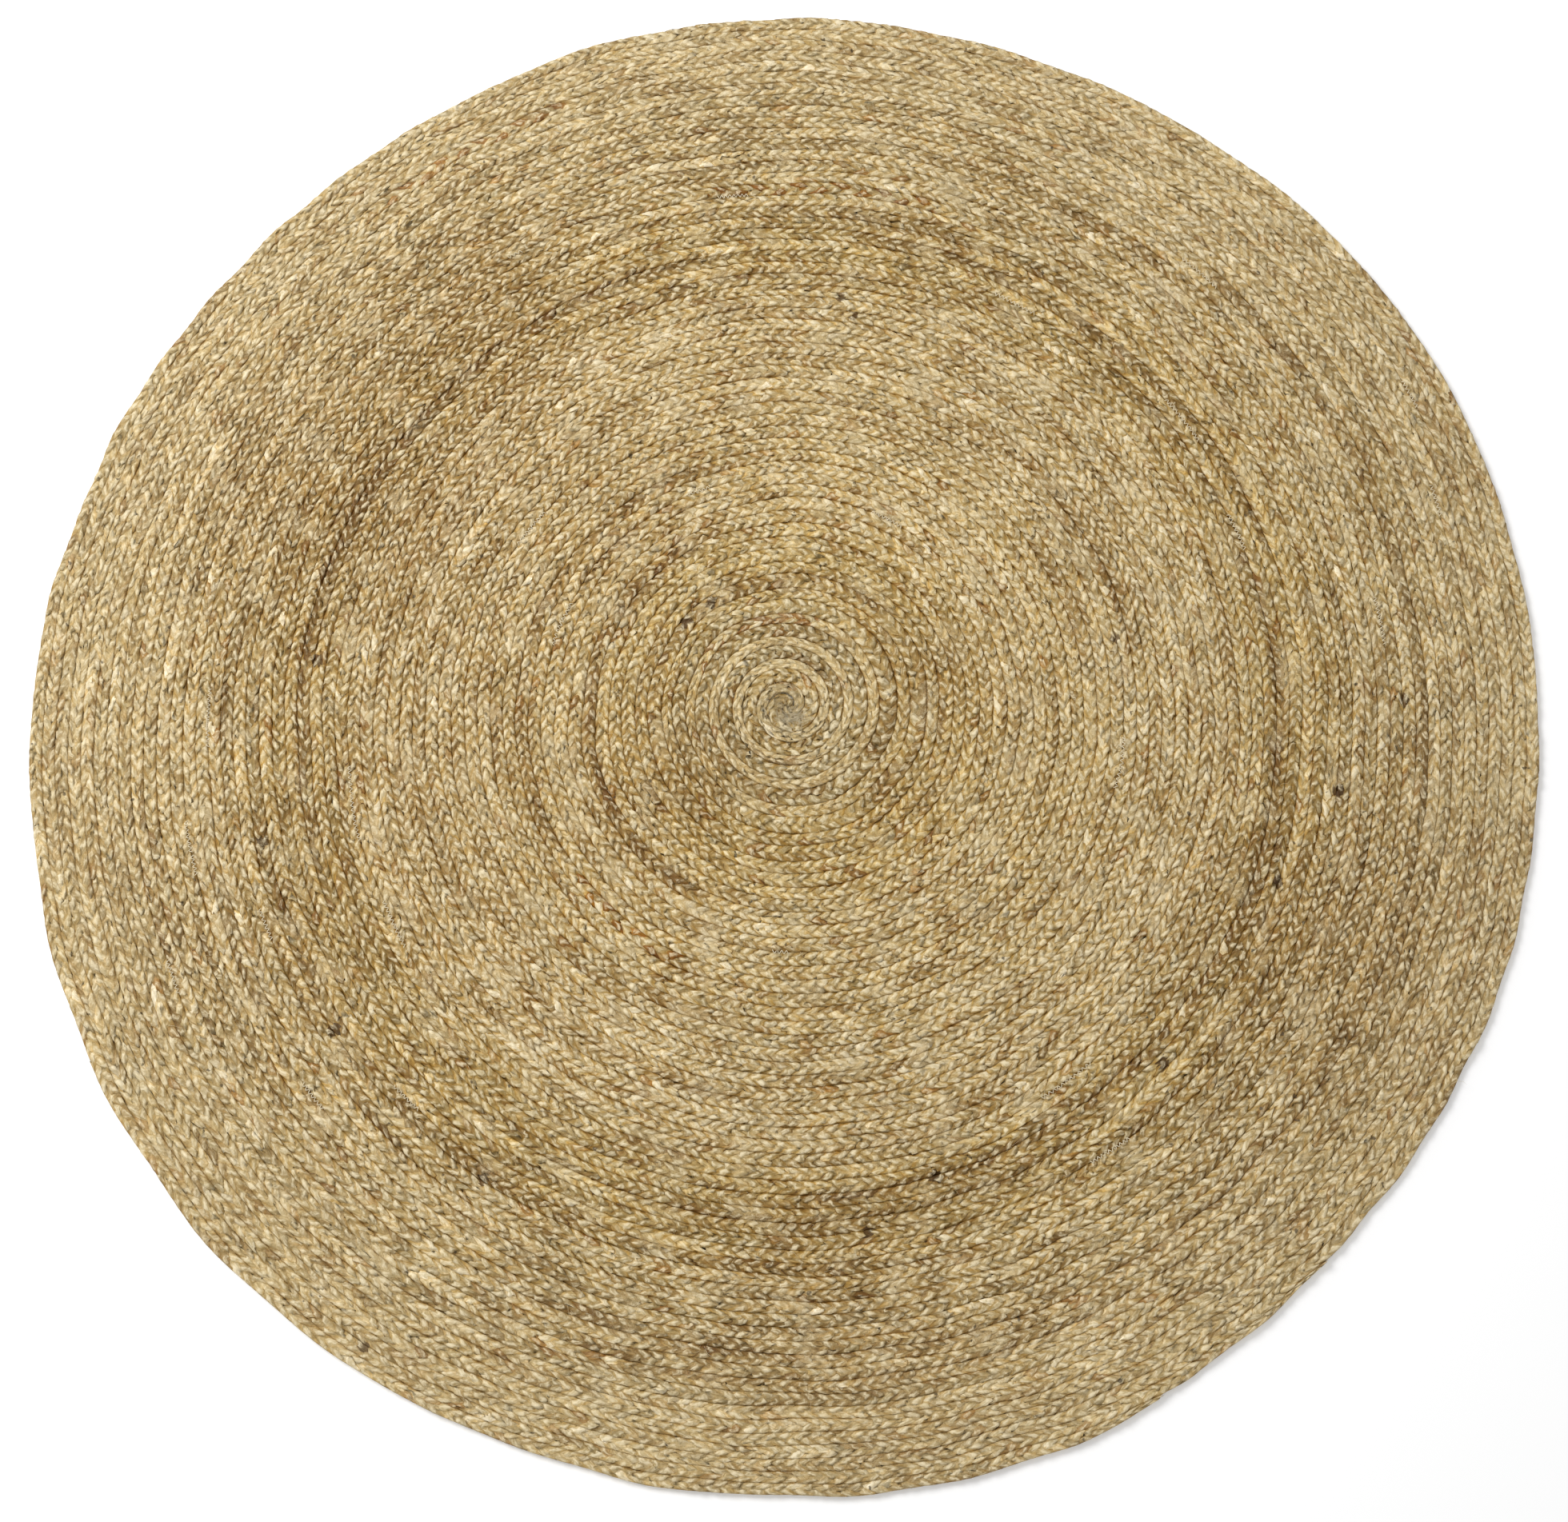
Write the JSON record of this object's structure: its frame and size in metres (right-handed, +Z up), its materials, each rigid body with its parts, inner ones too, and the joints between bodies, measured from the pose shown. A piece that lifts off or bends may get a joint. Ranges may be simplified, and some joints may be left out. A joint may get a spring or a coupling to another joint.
{
  "type": "round plaited jute rug",
  "caption": "Flat round floor rug of two jute plaits wound side by side outwards from its centre and sewn together, laid flat on a floor.",
  "frame": {"origin": "the start of the winding, on the underside, where the rug rests on the floor", "axes": "+Z up through the rug's thickness, out of the walking face; +X and +Y lie in the rug, and the plaits' outer ends are near azimuth -57 to -77 degrees"},
  "size_m": [1.5058, 1.5026, 0.009],
  "materials": {
    "jute": "natural undyed jute fibre, matt with a silky straw-gold gleam on each stitch, mottled with grey-green, brown and reddish strands"
  },
  "bodies": {
    "root": {"plaited_rug": "jute"}
  },
  "joints": []
}
